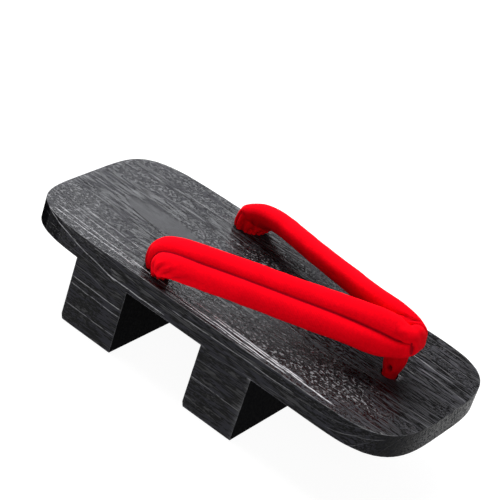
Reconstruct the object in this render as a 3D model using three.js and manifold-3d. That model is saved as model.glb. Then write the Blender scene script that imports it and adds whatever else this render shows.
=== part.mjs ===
// Geta: a wooden sandal carved from one block, with a padded cloth strap pair and a front thong.
// Millimetres. +X points to the toe, +Y to the wearer's left, +Z up. The origin is on the floor, under the centre.
import * as THREE from 'three';
import { mergeVertices } from 'three/addons/utils/BufferGeometryUtils.js';
import Module from 'manifold-3d';

const wasm = await Module();
wasm.setup();

// Gap that neighbouring pieces keep.
const GAP = 0.3;

// Wooden block.
const LENGTH = 262;
const DECK_TOP = 56;
const DECK_THICKNESS = 14.3;
const DECK_UNDERSIDE = DECK_TOP - DECK_THICKNESS;
const TOE_HALF_WIDTH = 57.3;
const HEEL_HALF_WIDTH = 56.1;
const CORNER_STEPS = 14;
const TOE_CORNER = { length: 56, power: 3.7 };
const HEEL_CORNER = { length: 88, power: 4.9 };
const TOOTH_CHAMFER = { along: 1.2, up: 3.0 };
const TEETH = [
  { name: 'heel', back: -85.8, front: -47.7 },
  { name: 'fore', back: 6.4, front: 41.8 },
];

// Holes through the deck for the strap tails and the thong.
const REAR_HOLE = { x: -40.5, y: 42, radius: 4.4 };
const FRONT_HOLE = { x: 90.8, y: 0, radius: 5.0 };
const HOLE_SIDES = 24;

// Left strap band, from the nose to the rear hole. z is above the deck top. turn is the plan direction of the
// band's width, from +X towards the outer side, and drop is how far its outer edge hangs below the horizontal.
const BAND_ROWS = [
  { x: 99.4, y: 4.6, z: 25.6, turn: 90, drop: 80, width: 10, thickness: 4 },
  { x: 97.8, y: 5.4, z: 25.6, turn: 89, drop: 78, width: 18, thickness: 9.5 },
  { x: 92.5, y: 6.0, z: 25.6, turn: 86, drop: 73, width: 23.5, thickness: 12.6 },
  { x: 82.0, y: 8.8, z: 25.0, turn: 79, drop: 62, width: 25.6, thickness: 13.6 },
  { x: 62.0, y: 14.5, z: 23.2, turn: 74, drop: 47, width: 26, thickness: 14 },
  { x: 34.0, y: 23.6, z: 20.8, turn: 72, drop: 39, width: 26, thickness: 14 },
  { x: 6.0, y: 32.8, z: 18.8, turn: 72, drop: 36, width: 26, thickness: 14 },
  { x: -18.0, y: 40.6, z: 16.6, turn: 71, drop: 34, width: 26, thickness: 14 },
  { x: -31.0, y: 43.8, z: 13.8, turn: 62, drop: 26, width: 26, thickness: 14 },
  { x: -38.6, y: 44.6, z: 9.0, turn: 48, drop: 12, width: 24.5, thickness: 14 },
  { x: -41.2, y: 43.6, z: 3.8, turn: 34, drop: 2, width: 20.5, thickness: 14 },
  { x: -41.0, y: 42.8, z: -2.0, turn: 30, drop: 0, width: 17, thickness: 11.5 },
];
const BAND_STEPS_PER_ROW = 4;
const BAND_SIDES = 28;
const LOBE_POWER = 2.3;
const SEAM_DEPTH = { outer: 0.26, inner: 0.1 };
const SEAM_SPREAD = 0.2;
const NOSE = { x: 88.0, z: 25.4, along: 12.3, across: 11.6, up: 11.4, power: 2.8, segments: 28 };

// Front thong: a flattened tube that hangs from the nose and narrows into a round stem in the front hole.
const THONG_ROWS = [
  { z: 24, along: 13.5, across: 9.5 },
  { z: 11, along: 13.2, across: 9.5 },
  { z: 5, along: 11.4, across: 9.2 },
  { z: 0.6, along: 9.2, across: 8.8 },
  { z: -4, along: 8.8, across: 8.8 },
  { z: -DECK_THICKNESS, along: 8.8, across: 8.8 },
];
const THONG_SIDES = 28;

// Knots under the deck.
const FRONT_KNOT = { radius: 8, height: 9 };
const REAR_KNOT = { radius: 6.3, height: 8.5 };
const KNOT_SIDES = 28;
const KNOT_STEPS = 9;

const UP = new THREE.Vector3(0, 0, 1);

const wood = new THREE.MeshStandardMaterial({ color: 0x1b1a1c, roughness: 0.42, metalness: 0 });
const redCloth = new THREE.MeshStandardMaterial({ color: 0xd80a18, roughness: 0.92, metalness: 0 });
const redCord = new THREE.MeshStandardMaterial({ color: 0xa60914, roughness: 0.9, metalness: 0 });

// ---- closed meshes and solids ----

function solidOf(geometry) {
  const plain = geometry.clone();
  plain.deleteAttribute('normal');
  plain.deleteAttribute('uv');
  const merged = mergeVertices(plain, 1e-4);
  return new wasm.Manifold(new wasm.Mesh({
    numProp: 3,
    vertProperties: new Float32Array(merged.attributes.position.array),
    triVerts: new Uint32Array(merged.index.array),
  }));
}

function geometryOf(solid) {
  const mesh = solid.getMesh();
  const geometry = new THREE.BufferGeometry();
  geometry.setAttribute('position', new THREE.BufferAttribute(mesh.vertProperties, 3));
  geometry.setIndex(new THREE.BufferAttribute(mesh.triVerts, 1));
  geometry.computeVertexNormals();
  return geometry;
}

// Skins equal rings of points, first to last, and closes both ends with a fan.
function skin(rings) {
  const sides = rings[0].length;
  const points = rings.flat();
  const faces = [];
  for (let row = 0; row < rings.length - 1; row += 1) {
    for (let side = 0; side < sides; side += 1) {
      const a = row * sides + side;
      const b = row * sides + (side + 1) % sides;
      faces.push(a, b, b + sides, a, b + sides, a + sides);
    }
  }
  [0, rings.length - 1].forEach((row) => {
    const centre = rings[row].reduce((sum, p) => sum.add(p), new THREE.Vector3()).divideScalar(sides);
    points.push(centre);
    for (let side = 0; side < sides; side += 1) {
      const a = row * sides + side;
      const b = row * sides + (side + 1) % sides;
      faces.push(points.length - 1, row === 0 ? b : a, row === 0 ? a : b);
    }
  });
  const geometry = new THREE.BufferGeometry().setFromPoints(points);
  geometry.setIndex(faces);
  return geometry;
}

// Reads a table column smoothly at a place between rows, where 1.5 is half way from row 1 to row 2.
function readColumns(rows, columns, place) {
  const curve = new THREE.CatmullRomCurve3(
    rows.map((row) => new THREE.Vector3(...columns.map((column) => row[column]))),
  );
  return curve.getPoint(place / (rows.length - 1));
}

// ---- wooden block ----

function cornerPoint(corner, angle) {
  return {
    along: corner.length * Math.sin(angle) ** (2 / corner.power),
    across: Math.cos(angle) ** (2 / corner.power),
  };
}

function halfWidthAt(x) {
  const share = (x + LENGTH / 2) / LENGTH;
  return HEEL_HALF_WIDTH + (TOE_HALF_WIDTH - HEEL_HALF_WIDTH) * share;
}

// Plan outline: two nearly straight sides, and an end at toe and heel with full, squarish corners.
function deckOutline() {
  const leftSide = [];
  for (let step = CORNER_STEPS; step >= 0; step -= 1) {
    const point = cornerPoint(HEEL_CORNER, (Math.PI / 2) * (step / CORNER_STEPS));
    const x = -LENGTH / 2 + HEEL_CORNER.length - point.along;
    leftSide.push(new THREE.Vector2(x, halfWidthAt(x) * point.across));
  }
  for (let step = 0; step <= CORNER_STEPS; step += 1) {
    const point = cornerPoint(TOE_CORNER, (Math.PI / 2) * (step / CORNER_STEPS));
    const x = LENGTH / 2 - TOE_CORNER.length + point.along;
    leftSide.push(new THREE.Vector2(x, halfWidthAt(x) * point.across));
  }
  const rightSide = leftSide.slice(1, -1).reverse().map((p) => new THREE.Vector2(p.x, -p.y));
  return new THREE.Shape([...leftSide, ...rightSide].reverse());
}

// Side profile: the deck with two teeth below it, each with a small chamfer on its rear lower edge.
function sideProfile() {
  const reach = LENGTH / 2 + 10;
  const profile = new THREE.Shape();
  profile.moveTo(reach, DECK_UNDERSIDE);
  profile.lineTo(reach, DECK_TOP);
  profile.lineTo(-reach, DECK_TOP);
  profile.lineTo(-reach, DECK_UNDERSIDE);
  TEETH.forEach((tooth) => {
    profile.lineTo(tooth.back, DECK_UNDERSIDE);
    profile.lineTo(tooth.back, TOOTH_CHAMFER.up);
    profile.lineTo(tooth.back + TOOTH_CHAMFER.along, 0);
    profile.lineTo(tooth.front, 0);
    profile.lineTo(tooth.front, DECK_UNDERSIDE);
  });
  return profile;
}

function holeSolid(x, y, radius) {
  const drill = new THREE.CylinderGeometry(radius, radius, DECK_THICKNESS * 2, HOLE_SIDES);
  drill.rotateX(Math.PI / 2);
  drill.translate(x, y, DECK_TOP - DECK_THICKNESS / 2);
  return solidOf(drill);
}

function woodBlock() {
  const plan = new THREE.ExtrudeGeometry(deckOutline(), { depth: DECK_TOP + 20, bevelEnabled: false });
  plan.translate(0, 0, -10);
  const reach = TOE_HALF_WIDTH + 10;
  const side = new THREE.ExtrudeGeometry(sideProfile(), { depth: reach * 2, bevelEnabled: false });
  side.rotateX(Math.PI / 2);
  side.translate(0, reach, 0);
  return solidOf(plan)
    .intersect(solidOf(side))
    .subtract(holeSolid(FRONT_HOLE.x, FRONT_HOLE.y, FRONT_HOLE.radius))
    .subtract(holeSolid(REAR_HOLE.x, REAR_HOLE.y, REAR_HOLE.radius))
    .subtract(holeSolid(REAR_HOLE.x, -REAR_HOLE.y, REAR_HOLE.radius));
}

// ---- strap pair ----

// One turn around the band: two stuffed lobes with a seam between them, deeper on the outer face.
function bandRing(place, grow) {
  const centre = readColumns(BAND_ROWS, ['x', 'y', 'z'], place);
  const { x: turn, y: drop } = readColumns(BAND_ROWS, ['turn', 'drop', 'z'], place);
  const { x: width, y: thickness } = readColumns(BAND_ROWS, ['width', 'thickness', 'z'], place);
  const ahead = readColumns(BAND_ROWS, ['x', 'y', 'z'], Math.min(place + 0.05, BAND_ROWS.length - 1));
  const behind = readColumns(BAND_ROWS, ['x', 'y', 'z'], Math.max(place - 0.05, 0));
  const tangent = ahead.sub(behind).normalize();
  const turnAngle = THREE.MathUtils.degToRad(turn);
  const dropAngle = THREE.MathUtils.degToRad(drop);
  const across = new THREE.Vector3(
    Math.cos(turnAngle) * Math.cos(dropAngle),
    Math.sin(turnAngle) * Math.cos(dropAngle),
    -Math.sin(dropAngle),
  );
  across.addScaledVector(tangent, -across.dot(tangent)).normalize();
  const face = new THREE.Vector3().crossVectors(across, tangent).normalize();
  const ring = [];
  for (let side = 0; side < BAND_SIDES; side += 1) {
    const angle = (-2 * Math.PI * side) / BAND_SIDES;
    const u = Math.sign(Math.cos(angle)) * Math.abs(Math.cos(angle)) ** (2 / LOBE_POWER);
    const v = Math.sign(Math.sin(angle)) * Math.abs(Math.sin(angle)) ** (2 / LOBE_POWER);
    const seam = (v > 0 ? SEAM_DEPTH.outer : SEAM_DEPTH.inner) * Math.exp(-((u / SEAM_SPREAD) ** 2));
    ring.push(centre.clone()
      .addScaledVector(across, u * (width / 2 + grow))
      .addScaledVector(face, v * (1 - seam) * (thickness / 2 + grow))
      .add(UP.clone().multiplyScalar(DECK_TOP)));
  }
  return ring;
}

function bandSolid(grow) {
  const last = (BAND_ROWS.length - 1) * BAND_STEPS_PER_ROW;
  const rings = Array.from({ length: last + 1 }, (_, step) => bandRing(step / BAND_STEPS_PER_ROW, grow));
  return solidOf(skin(rings));
}

// The rounded block where the two bands meet, fuller than a ball towards its edges.
function noseSolid(grow) {
  const nose = new THREE.SphereGeometry(1, NOSE.segments, NOSE.segments / 2);
  const places = nose.attributes.position;
  for (let i = 0; i < places.count; i += 1) {
    const p = new THREE.Vector3().fromBufferAttribute(places, i);
    const reach = p.toArray().reduce((sum, part) => sum + Math.abs(part) ** NOSE.power, 0) ** (-1 / NOSE.power);
    p.multiplyScalar(reach);
    places.setXYZ(i, p.x, p.y, p.z);
  }
  nose.scale(NOSE.along + grow, NOSE.across + grow, NOSE.up + grow);
  nose.translate(NOSE.x, 0, DECK_TOP + NOSE.z);
  return solidOf(nose);
}

function tailSolid() {
  const radius = REAR_HOLE.radius - GAP;
  const rise = 4;
  const tail = new THREE.CylinderGeometry(radius, radius, DECK_THICKNESS + rise, HOLE_SIDES);
  tail.rotateX(Math.PI / 2);
  tail.translate(REAR_HOLE.x, REAR_HOLE.y, DECK_UNDERSIDE + (DECK_THICKNESS + rise) / 2);
  return solidOf(tail);
}

// The left band rests on the deck, and its round tail goes down the rear hole.
function leftBand(grow) {
  const floorBlock = new THREE.BoxGeometry(LENGTH, LENGTH, DECK_TOP);
  floorBlock.translate(0, 0, DECK_TOP / 2 + GAP);
  return bandSolid(grow).subtract(solidOf(floorBlock)).add(tailSolid());
}

function strapPair(grow) {
  const left = leftBand(grow);
  return left.add(left.mirror([0, 1, 0])).add(noseSolid(grow));
}

// ---- front thong ----

function thongSolid() {
  const rings = THONG_ROWS.map((row) => {
    const ring = [];
    for (let side = 0; side < THONG_SIDES; side += 1) {
      const angle = (-2 * Math.PI * side) / THONG_SIDES;
      ring.push(new THREE.Vector3(
        FRONT_HOLE.x + (row.along / 2) * Math.cos(angle),
        FRONT_HOLE.y + (row.across / 2) * Math.sin(angle),
        DECK_TOP + row.z,
      ));
    }
    return ring;
  });
  return solidOf(skin(rings)).subtract(strapPair(GAP));
}

// ---- knots ----

function knotGeometry(knot) {
  const profile = [new THREE.Vector2(0, -knot.height)];
  for (let step = 1; step < KNOT_STEPS; step += 1) {
    const angle = (Math.PI * step) / KNOT_STEPS - Math.PI / 2;
    profile.push(new THREE.Vector2(
      knot.radius * Math.cos(angle) ** 0.7,
      (knot.height / 2) * (Math.sin(angle) - 1),
    ));
  }
  profile.push(new THREE.Vector2(0, 0));
  const geometry = new THREE.LatheGeometry(profile, KNOT_SIDES);
  geometry.rotateX(Math.PI / 2);
  return geometry;
}

// ---- assembly ----

function piece(name, geometry, material) {
  const mesh = new THREE.Mesh(geometry, material);
  mesh.name = name;
  return mesh;
}

function knotPiece(name, knot, x, y) {
  const mesh = piece(name, knotGeometry(knot), redCord);
  mesh.position.set(x, y, DECK_UNDERSIDE - GAP);
  return mesh;
}

const geta = new THREE.Group();
geta.name = 'geta';
geta.add(piece('wood_block', geometryOf(woodBlock()), wood));
geta.add(piece('strap_pair', geometryOf(strapPair(0)), redCloth));
geta.add(piece('front_thong', geometryOf(thongSolid()), redCloth));
geta.add(knotPiece('front_knot', FRONT_KNOT, FRONT_HOLE.x, FRONT_HOLE.y));
geta.add(knotPiece('rear_knot_left', REAR_KNOT, REAR_HOLE.x, REAR_HOLE.y));
geta.add(knotPiece('rear_knot_right', REAR_KNOT, REAR_HOLE.x, -REAR_HOLE.y));

export default geta;
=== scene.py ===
"""Black lacquered geta: a brushed wooden block on two teeth, with padded red straps and a front thong."""

import math

import bmesh
import bpy
from bpy.props import FloatProperty, FloatVectorProperty, IntProperty, PointerProperty
from mathutils import Matrix, Vector, noise


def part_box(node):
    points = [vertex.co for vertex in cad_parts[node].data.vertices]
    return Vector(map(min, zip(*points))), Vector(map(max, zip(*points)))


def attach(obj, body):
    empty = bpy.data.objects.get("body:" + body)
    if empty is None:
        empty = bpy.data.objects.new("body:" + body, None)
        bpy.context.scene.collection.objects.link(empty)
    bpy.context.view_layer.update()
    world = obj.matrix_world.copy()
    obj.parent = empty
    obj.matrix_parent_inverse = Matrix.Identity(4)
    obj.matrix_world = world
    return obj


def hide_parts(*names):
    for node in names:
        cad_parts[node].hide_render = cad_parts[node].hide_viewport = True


bl_info = {
    "name": "Geta Sandal",
    "version": (1, 0, 0),
    "blender": (4, 5, 0),
    "location": "View3D > Sidebar > Geta",
    "description": "Builds a lacquered wooden sandal with padded cloth straps, and its plain studio stage",
    "category": "Add Mesh",
}

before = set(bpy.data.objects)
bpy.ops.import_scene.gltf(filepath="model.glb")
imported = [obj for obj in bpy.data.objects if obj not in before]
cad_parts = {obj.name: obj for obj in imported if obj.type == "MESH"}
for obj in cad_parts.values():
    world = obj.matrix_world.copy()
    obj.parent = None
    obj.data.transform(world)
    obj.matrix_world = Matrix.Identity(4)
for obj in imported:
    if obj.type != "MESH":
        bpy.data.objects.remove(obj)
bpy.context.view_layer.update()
BLOCK_LOW, BLOCK_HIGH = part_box("wood_block")

MM = 0.001
LENGTH = (BLOCK_HIGH.x - BLOCK_LOW.x) / MM
DECK_TOP = BLOCK_HIGH.z / MM


def table(columns, *rows):
    """Rows that carry the names of their columns, which are written once."""
    names = columns.split()
    return [dict(zip(names, row)) for row in rows]


# ---- shape tables, in millimetres ----

# The two ends of the deck's outline: how long the rounded end is, and how square its corners are.
DECK_ENDS = {
    "toe": {"length": 56, "power": 3.7},
    "heel": {"length": 88, "power": 4.9},
}

# The teeth under the deck, heel first, with the chamfer on each rear lower edge.
TEETH = [
    {"back": -85.8, "front": -47.7},
    {"back": 6.4, "front": 41.8},
]
TOOTH_CHAMFER = {"along": 1.2, "up": 3.0}

# The smooth oval of early wood on the heel half of the deck.
CALM_PATCH = {"x": -73, "y": 0, "half_length": 27, "half_width": 9}

# Where the brushed pores show as small bright specks. The grooves in them are also dimmed, which paints
# shade on the deck beside the near band.
SPECKLED_PATCHES = table(
    "x y half_length half_width strength",
    (62, -34, 46, 17, 1.0),
    (6, -42, 34, 8, 1.0),
    (-112, -34, 16, 20, 0.45),
    (-22, 22, 20, 9, 0.8),
    (-88, -50, 40, 12, 0.45),
)

# Fine lines along the grain, by the face that they are on: where they start and end along the block, and
# their cross place there, which is y on the deck and z on the sides. A positive strength is a hard ring
# brushed pale, and along the deck's near edge also a painted glint on the raised ring; a negative one is a
# dark cut.
FINE_LINES = {
    "deck": table(
        "start end from to half_width strength",
        (-14, 70, -46.5, -50.5, 0.75, 1.0),
        (2, 92, -49.0, -52.6, 0.75, 1.0),
        (-30, 60, -51.2, -53.6, 0.7, 1.0),
        (-24, 44, -53.4, -54.8, 0.5, 0.8),
        (-118, -20, -44.0, -50.0, 0.5, 0.7),
        (-110, -60, -38.0, -41.0, 0.5, 0.5),
        (-116, -50, -48.0, -51.0, 0.5, 0.7),
        (-104, -48, -32.5, -35.0, 0.5, 0.4),
        (-92, -62, -6.2, -11.6, 0.7, -1.0),
        (-86, -50, -16.5, -20.0, 0.6, -0.8),
        (-100, -40, 33.0, 36.5, 0.6, -0.8),
        (60, 118, 30.0, 26.0, 0.42, 0.3),
        (-90, -10, 36.0, 40.0, 0.42, 0.3),
    ),
    "side": table(
        "start end from to half_width strength",
        (-120, -86, 56.8, 49.2, 0.5, 0.6),
        (-90, -56, 50.0, 43.6, 0.45, 0.55),
        (-64, -20, 44.6, 44.0, 0.5, 0.7),
        (-20, 70, 50.0, 50.8, 0.42, 0.35),
        (92, 122, 44.6, 53.0, 0.42, 0.12),
        (-86, -47, 30.0, 29.0, 0.42, 0.5),
        (-86, -47, 25.5, 24.5, 0.42, 0.4),
        (-86, -47, 12.0, 11.4, 0.42, 0.3),
        (6, 42, 21.0, 20.0, 0.42, 0.25),
    ),
    "end": [],
}

# How the finish differs by the way a face looks: the deck's top, the faces along the grain, the corners that
# turn to the heel, the heel's end, and the sawn faces of the teeth. lines names the fine lines it carries.
# The smaller light and pale shares at the heel corners, on the heel and on the sawn faces are painted shade.
FINISHES = table(
    "face lines name specular roughness light_share fleck_share pale_share line_share speckle_shift",
    ("deck", "deck", "Brushed lacquer on the deck", 0.2, 0.2, 1.0, 0.06, 1.0, 0.2, 0.0),
    ("side", "side", "Brushed lacquer on the sides", 0.08, 0.3, 1.45, 0.06, 1.0, 0.08, -0.55),
    ("turn", "side", "Brushed lacquer at the heel corners", 0.02, 0.45, 0.75, 0.06, 0.8, 0.08, -0.55),
    ("heel", "side", "Brushed lacquer on the heel", 0.0, 0.5, 0.3, 0.06, 0.45, 0.08, -0.55),
    ("end", "end", "Sawn end grain", 0.01, 0.75, 0.2, 0.1, 0.06, 0.3, 0.0),
)

# How much a face looks back to be a heel corner or the heel's end, either way to be sawn, and up to be deck.
TURN_LEAN = -0.15
HEEL_LEAN = -0.4
SAWN_LEAN = 0.9
DECK_LEAN = 0.5

# How finely the grain is drawn along and across the block, in marks per metre.
FIBRE_SCALE = (62, 700, 700)
STRAND_SCALE = (24, 330, 330)
SPECK_SCALE = (430, 820, 820)
DRIFT_SCALE = (16, 60, 60)
RING_BEND_SCALE = (26, 160, 160)

# Ranges that turn one measure of the grain into another: from low and high, to the values given there.
GROOVE_RANGE = (0.495, 0.55)
FLECK_RANGE = (0.37, 0.43, 1.0, 0.0)
LOOSE_RING_RANGE = (0.4, 0.6, 0.0, 0.9)
RING_LINE_RANGE = (0.01, 0.075, 1.0, 0.0)
RING_SHOWN_RANGE = (0.44, 0.58)
HEART_RANGE = (0.006, 0.013)
# The range over which faces that look along the grain take painted shade and lose relief.
END_SHADE_AND_SMOOTHING_RANGE = (0.25, 0.75, 1.0, 0.28)

# The heights of the brushed grain and the cotton weave, in metres, and the share of pale on worn edges,
# which is bare wood and also a painted highlight along the edges.
GRAIN_RELIEF = 0.0007
WEAVE_RELIEF = 0.0002
WORN_EDGE_HIGHLIGHT_SHARE = 0.7

# How far the speckled patches darken the grooves as painted shade, how fast that comes in, and what they add
# in flecks and gloss.
PATCH_PAINTED_SHADE = -0.85
PATCH_ONSET = 1.36
PATCH_FLECKS = 0.22
GROOVE_MATT = 0.45
PATCH_GLOSS = -0.3

# The steps that the block is cut into along X, Y and Z, and the turn from which an edge is eased.
BLOCK_STEPS = (4.6, 0.95, 1.0)
SHARP_EDGE = math.radians(40)

HOLES = table(
    "name x y radius",
    ("front", 90.8, 0, 5.0),
    ("rear left", -40.5, 42, 4.4),
    ("rear right", -40.5, -42, 4.4),
)

# Left band from the nose to the rear hole. z is above the deck. turn is the plan direction of the band's
# width, and drop is how far its outer edge hangs.
BAND_ROWS = table(
    "x y z turn drop width thickness",
    (99.4, 4.6, 25.6, 90, 80, 10, 4),
    (97.8, 5.4, 25.6, 89, 78, 18, 9.5),
    (92.5, 6.0, 25.6, 86, 73, 23.5, 12.6),
    (82.0, 8.8, 25.0, 79, 62, 25.6, 13.6),
    (62.0, 14.5, 23.2, 74, 47, 26, 14),
    (34.0, 23.6, 20.8, 72, 39, 26, 14),
    (6.0, 32.8, 18.8, 72, 36, 26, 14),
    (-18.0, 40.6, 16.6, 71, 34, 26, 14),
    (-31.0, 43.8, 13.8, 62, 26, 26, 14),
    (-38.6, 44.6, 9.0, 48, 12, 24.5, 14),
    (-41.2, 43.6, 3.8, 34, 2, 20.5, 14),
    (-41.0, 42.8, -2.0, 30, 0, 17, 11.5),
)

# Where one band differs from the other, as stuffed cloth does.
BAND_CHANGES = {
    "left": {
        3: {"z": 26.4},
        4: {"z": 25.0},
        5: {"z": 22.0},
    },
    "right": {
        0: {"x": 99.4, "y": 6.0, "z": 28.6, "width": 10, "thickness": 4},
        1: {"x": 98.2, "y": 6.2, "z": 28.2, "width": 15.5, "thickness": 10},
        2: {"x": 92.0, "y": 6.6, "z": 26.1, "width": 21, "thickness": 12.4},
        8: {"z": 14.8, "width": 26.5},
        9: {"z": 11.4, "width": 26},
        10: {"z": 5.4, "width": 23.5},
    },
}

# Creases pressed into the bands, whose troughs also take painted shade. place is the row they cross, around
# is in degrees from the band's outer edge with 90 at the middle of its outer face, slant is degrees of turn
# per row, and reach is in rows.
BAND_CREASES = {
    "left": table(
        "place around slant reach width depth",
        (9.0, 250, 40, 0.45, 9, 0.9),
        (8.5, 292, -60, 0.4, 10, 0.7),
        (2.6, 205, 40, 0.4, 9, 0.8),
        (2.0, 190, 50, 0.35, 8, 0.9),
    ),
    "right": table(
        "place around slant reach width depth",
        (8.6, 28, -46, 0.34, 7, 1.1),
        (8.05, 22, -52, 0.3, 6, 0.9),
        (7.5, 16, -52, 0.28, 6, 0.6),
        (9.15, 42, -60, 0.3, 8, 0.8),
    ),
}

# Front thong: a folded tab that hangs from the nose and narrows into a round stem in the front hole.
THONG_ROWS = table(
    "z along across",
    (23, 12.5, 8.6),
    (15, 13.3, 9.3),
    (10, 13.2, 9.4),
    (5, 11.0, 9.2),
    (1.6, 8.4, 8.2),
    (-1, 7.8, 7.8),
    (-8, 8.2, 8.2),
    (-14.2, 8.2, 8.2),
)

# The wrap where the bands meet: its middle, with z above the deck, its reach, and the pit in its top.
NOSE_CENTRE = (91.4, -0.6, 26.2)
NOSE_REACH = (10.4, 9.6, 9.6)
NOSE_PIT = (-1.0, 1.6)

# The small hole in the thong's fold, by its place along the block and its height above the deck.
THONG_PIT = (0.6, 5.4)

KNOTS = table(
    "name node",
    ("front_knot_cord", "front_knot"),
    ("rear_knot_cord_left", "rear_knot_left"),
    ("rear_knot_cord_right", "rear_knot_right"),
)
KNOT_TURNS = 3

# The tails reach this far above and below the deck's top, with this much play in the rear holes.
TAIL_ABOVE = 3
TAIL_BELOW = 14.3
TAIL_PLAY = 0.4

# The bands' mesh, how square their section is, the spread of the seam, and the pleats at the rear end.
BAND_STEPS = {"along": 150, "around": 84}
BAND_SQUARENESS = 2.25
SEAM_SPREAD = 0.2
INNER_SEAM_DEPTH = 0.06
PLEATS = 11

# A band starts this much slimmer before its cloth settles, and lies at least this far above the deck.
SETTLING_ROOM = 0.25
DECK_CLEARANCE = 0.25

COTTON_FACE = {
    "Roughness": 0.95,
    "Specular IOR Level": 0.04,
    "Sheen Weight": 0.06,
    "Sheen Roughness": 0.4,
    "Sheen Tint": (1.0, 0.03, 0.05, 1),
}
FLOOR_FACE = {
    "Roughness": 0.9,
    "Specular IOR Level": 0.1,
    "Emission Color": (1, 1, 1, 1),
    "Emission Strength": 0.94,
}

CLOTH_SETTINGS = {
    "quality": 6,
    "mass": 0.15,
    "tension_stiffness": 12,
    "compression_stiffness": 12,
    "bending_stiffness": 3,
    "use_pressure": True,
    "vertex_group_mass": "hold",
    "pin_stiffness": 1.0,
}

# Soft lights, in metres and watts. aim_x is where each one looks along the sandal.
LIGHTS = table(
    "name place size power aim_x color",
    ("key_softbox", (-0.5, 0.3, 1.3), (1.0, 1.0), 32, 0, (1, 1, 1)),
    ("back_softbox", (-1.2, 1.25, 0.95), (1.1, 0.9), 12.5, -0.08, (0.93, 0.95, 1.0)),
    ("fill_softbox", (0.5, -1.2, 0.9), (1.0, 0.8), 3, 0, (1, 1, 1)),
)
LIGHT_AIM_HEIGHT = 0.05
FLOOR_DROP = 0.0003
FLOOR_HALF_SIZE = 4.0
AIR_GLOW = 0.12


# ---- settings ----


def length(name, description, default):
    return FloatProperty(name=name, description=description, default=default * MM, unit="LENGTH")


def angle(name, description, degrees):
    return FloatProperty(name=name, description=description, default=math.radians(degrees), unit="ROTATION")


def number(name, description, default, **limits):
    return FloatProperty(name=name, description=description, default=default, **limits)


def color(name, description, default):
    return FloatVectorProperty(name=name, description=description, default=default, size=3, subtype="COLOR")


class GETA_block_settings(bpy.types.PropertyGroup):
    deck_thickness: length("Deck thickness", "Thickness of the deck between and beyond the teeth", 14.3)
    toe_half_width: length("Toe half width", "Half the deck's width at the toe", 57.3)
    heel_half_width: length("Heel half width", "Half the deck's width at the heel", 56.1)
    edge_round: length("Edge rounding", "How much the cut edges are eased", 0.7)
    ring_spacing: length("Ring spacing", "Distance from one growth ring to the next", 2.7)
    ridge_height: length("Ridge height", "How far brushing leaves the hard rings standing", 0.16)
    lacquer: color("Lacquer", "Colour of the black lacquer", (0.002, 0.002, 0.0023))
    rubbed: color("Rubbed grain", "Colour of the grain where the lacquer lies thin", (0.027, 0.027, 0.033))
    # Pale grain is bare wood on brushed rings, flecks and worn edges, and also the painted glints on the
    # edges and along the deck's near edge.
    pale_grain_and_glint: color("Pale grain and painted glint", "Colour of the few hard lines that are brushed bare", (0.6, 0.6, 0.63))


class GETA_strap_settings(bpy.types.PropertyGroup):
    seam_depth: number("Seam depth", "Share of the thickness that the seam pulls in", 0.42, min=0, max=0.8)
    pressure: number("Filling pressure", "Pressure of the stuffing while the cloth settles", 6.0, min=0)
    settle_frames: IntProperty(
        name="Settling frames", description="Frames that the cloth settles for", default=20, min=1, max=60
    )
    settle_limit: length("Settling limit", "The furthest that the cloth may move while it settles", 0.8)
    dye: color("Dye", "Colour of the red cotton", (0.95, 0.0, 0.008))
    # The colour of painted shade at the bottom of seams, creases, pleats, folds and knot grooves.
    seam_painted_shade: color("Painted shade in seams and creases", "Colour at the bottom of the seams", (0.2, 0.0, 0.006))


class GETA_stage_settings(bpy.types.PropertyGroup):
    camera_place: FloatVectorProperty(
        name="Camera place",
        description="Where the camera stands",
        default=(0.40475, -0.78562, 0.59496),
        size=3,
        unit="LENGTH",
    )
    camera_azimuth: angle("Camera azimuth", "Turn of the camera round the sandal", 28.03)
    camera_elevation: angle("Camera elevation", "Height of the camera as an angle", 30.41)
    camera_roll: angle("Camera roll", "Roll of the camera about its line of sight", -18.48)
    lens: number("Lens", "Focal length in millimetres", 133.77, min=10)
    floor_color: color("Floor", "Colour of the floor", (0.2, 0.2, 0.2))


# ---- helpers for meshes ----


def clamp(value, low=0.0, high=1.0):
    return max(low, min(high, value))


def smooth_step(low, high, value):
    share = clamp((value - low) / (high - low))
    return share * share * (3 - 2 * share)


def signed_power(value, power):
    return math.copysign(abs(value) ** power, value)


def uneven_at(x, y, z):
    """Smooth unevenness around 0 that is the same on every run."""
    return noise.noise(Vector((x, y, z)))


def bell(*parts):
    """1 where every part is 0, falling off smoothly as any part passes 1."""
    return math.exp(-sum(part**2 for part in parts))


def read_columns(rows, columns, place):
    """Reads table columns smoothly at a place between rows."""
    last = len(rows) - 1
    place = clamp(place, 0, last)
    index = min(int(place), last - 1)
    share = place - index
    picked = [rows[clamp(index + step, 0, last)] for step in (-1, 0, 1, 2)]
    values = []
    for column in columns:
        before, start, end, after = [row[column] for row in picked]
        values.append(
            0.5
            * (
                2 * start
                + (end - before) * share
                + (2 * before - 5 * start + 4 * end - after) * share**2
                + (3 * start - before - 3 * end + after) * share**3
            )
        )
    return values


def mesh_object(name, bm, material=None):
    """Turns a bmesh into a finished object with smooth faces, and with one material if it is given."""
    for face in bm.faces:
        face.smooth = True
    mesh = bpy.data.meshes.new(name)
    bm.to_mesh(mesh)
    bm.free()
    piece = bpy.data.objects.new(name, mesh)
    bpy.context.scene.collection.objects.link(piece)
    if material:
        mesh.materials.append(material)
    return piece


def remove_object(piece):
    mesh = piece.data
    bpy.data.objects.remove(piece)
    bpy.data.meshes.remove(mesh)


def applied_mesh(piece):
    """The piece's mesh with its modifiers in it."""
    graph = bpy.context.evaluated_depsgraph_get()
    return bpy.data.meshes.new_from_object(piece.evaluated_get(graph))


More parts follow.
